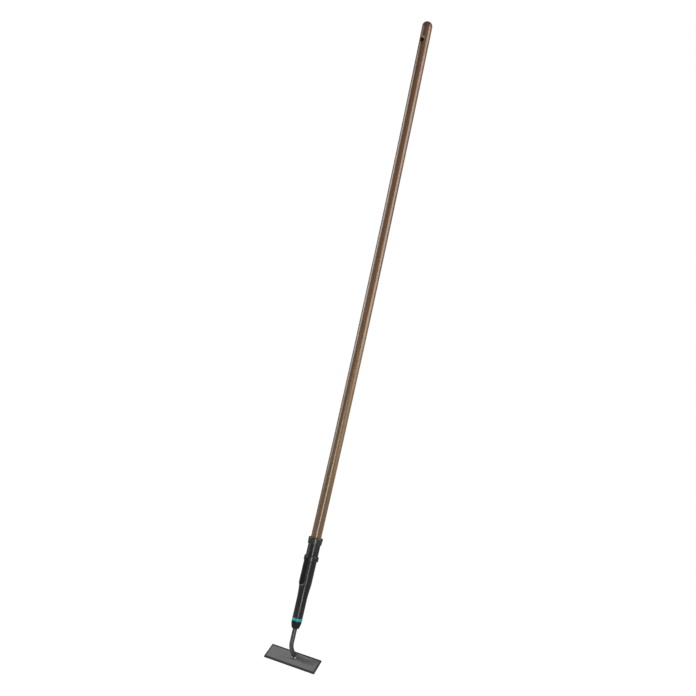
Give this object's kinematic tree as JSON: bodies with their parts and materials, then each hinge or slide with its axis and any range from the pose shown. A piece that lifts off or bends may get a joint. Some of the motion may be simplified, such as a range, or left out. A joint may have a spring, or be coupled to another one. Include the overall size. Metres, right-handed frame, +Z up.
{
  "type": "dutch hoe",
  "caption": "Long-handled dutch hoe: a bowed ash handle in a moulded sleeve, and a bent steel neck welded to a flat push blade.",
  "frame": {"origin": "middle of the hanging hole through the butt of the handle", "axes": "+Z runs up along the axis of the sleeve, X runs across the blade, and -Y is the front, where the cutting edge points"},
  "size_m": [0.16, 0.0773, 1.6519],
  "materials": {
    "ash_wood": "brown stained ash with a satin oil finish",
    "black_plastic": "moulded black plastic, satin",
    "collar_plastic": "moulded black plastic, satin, slightly green",
    "plate_plastic": "smooth black plastic, bare",
    "turquoise_plastic": "moulded turquoise plastic, semi gloss",
    "dark_steel": "dark grey coated steel, satin, darker at the edges",
    "weld_steel": "coated weld bead",
    "fastener_steel": "zinc plated"
  },
  "bodies": {
    "root": {"handle": "ash_wood", "sleeve": "black_plastic", "collar": "collar_plastic", "cover_plate": "plate_plastic", "handle_screw": "fastener_steel", "colour_ring": "turquoise_plastic", "nose_cap": "black_plastic", "neck": "dark_steel", "tang_pin": "fastener_steel", "weld_bead": "weld_steel", "blade": "dark_steel"}
  },
  "joints": []
}
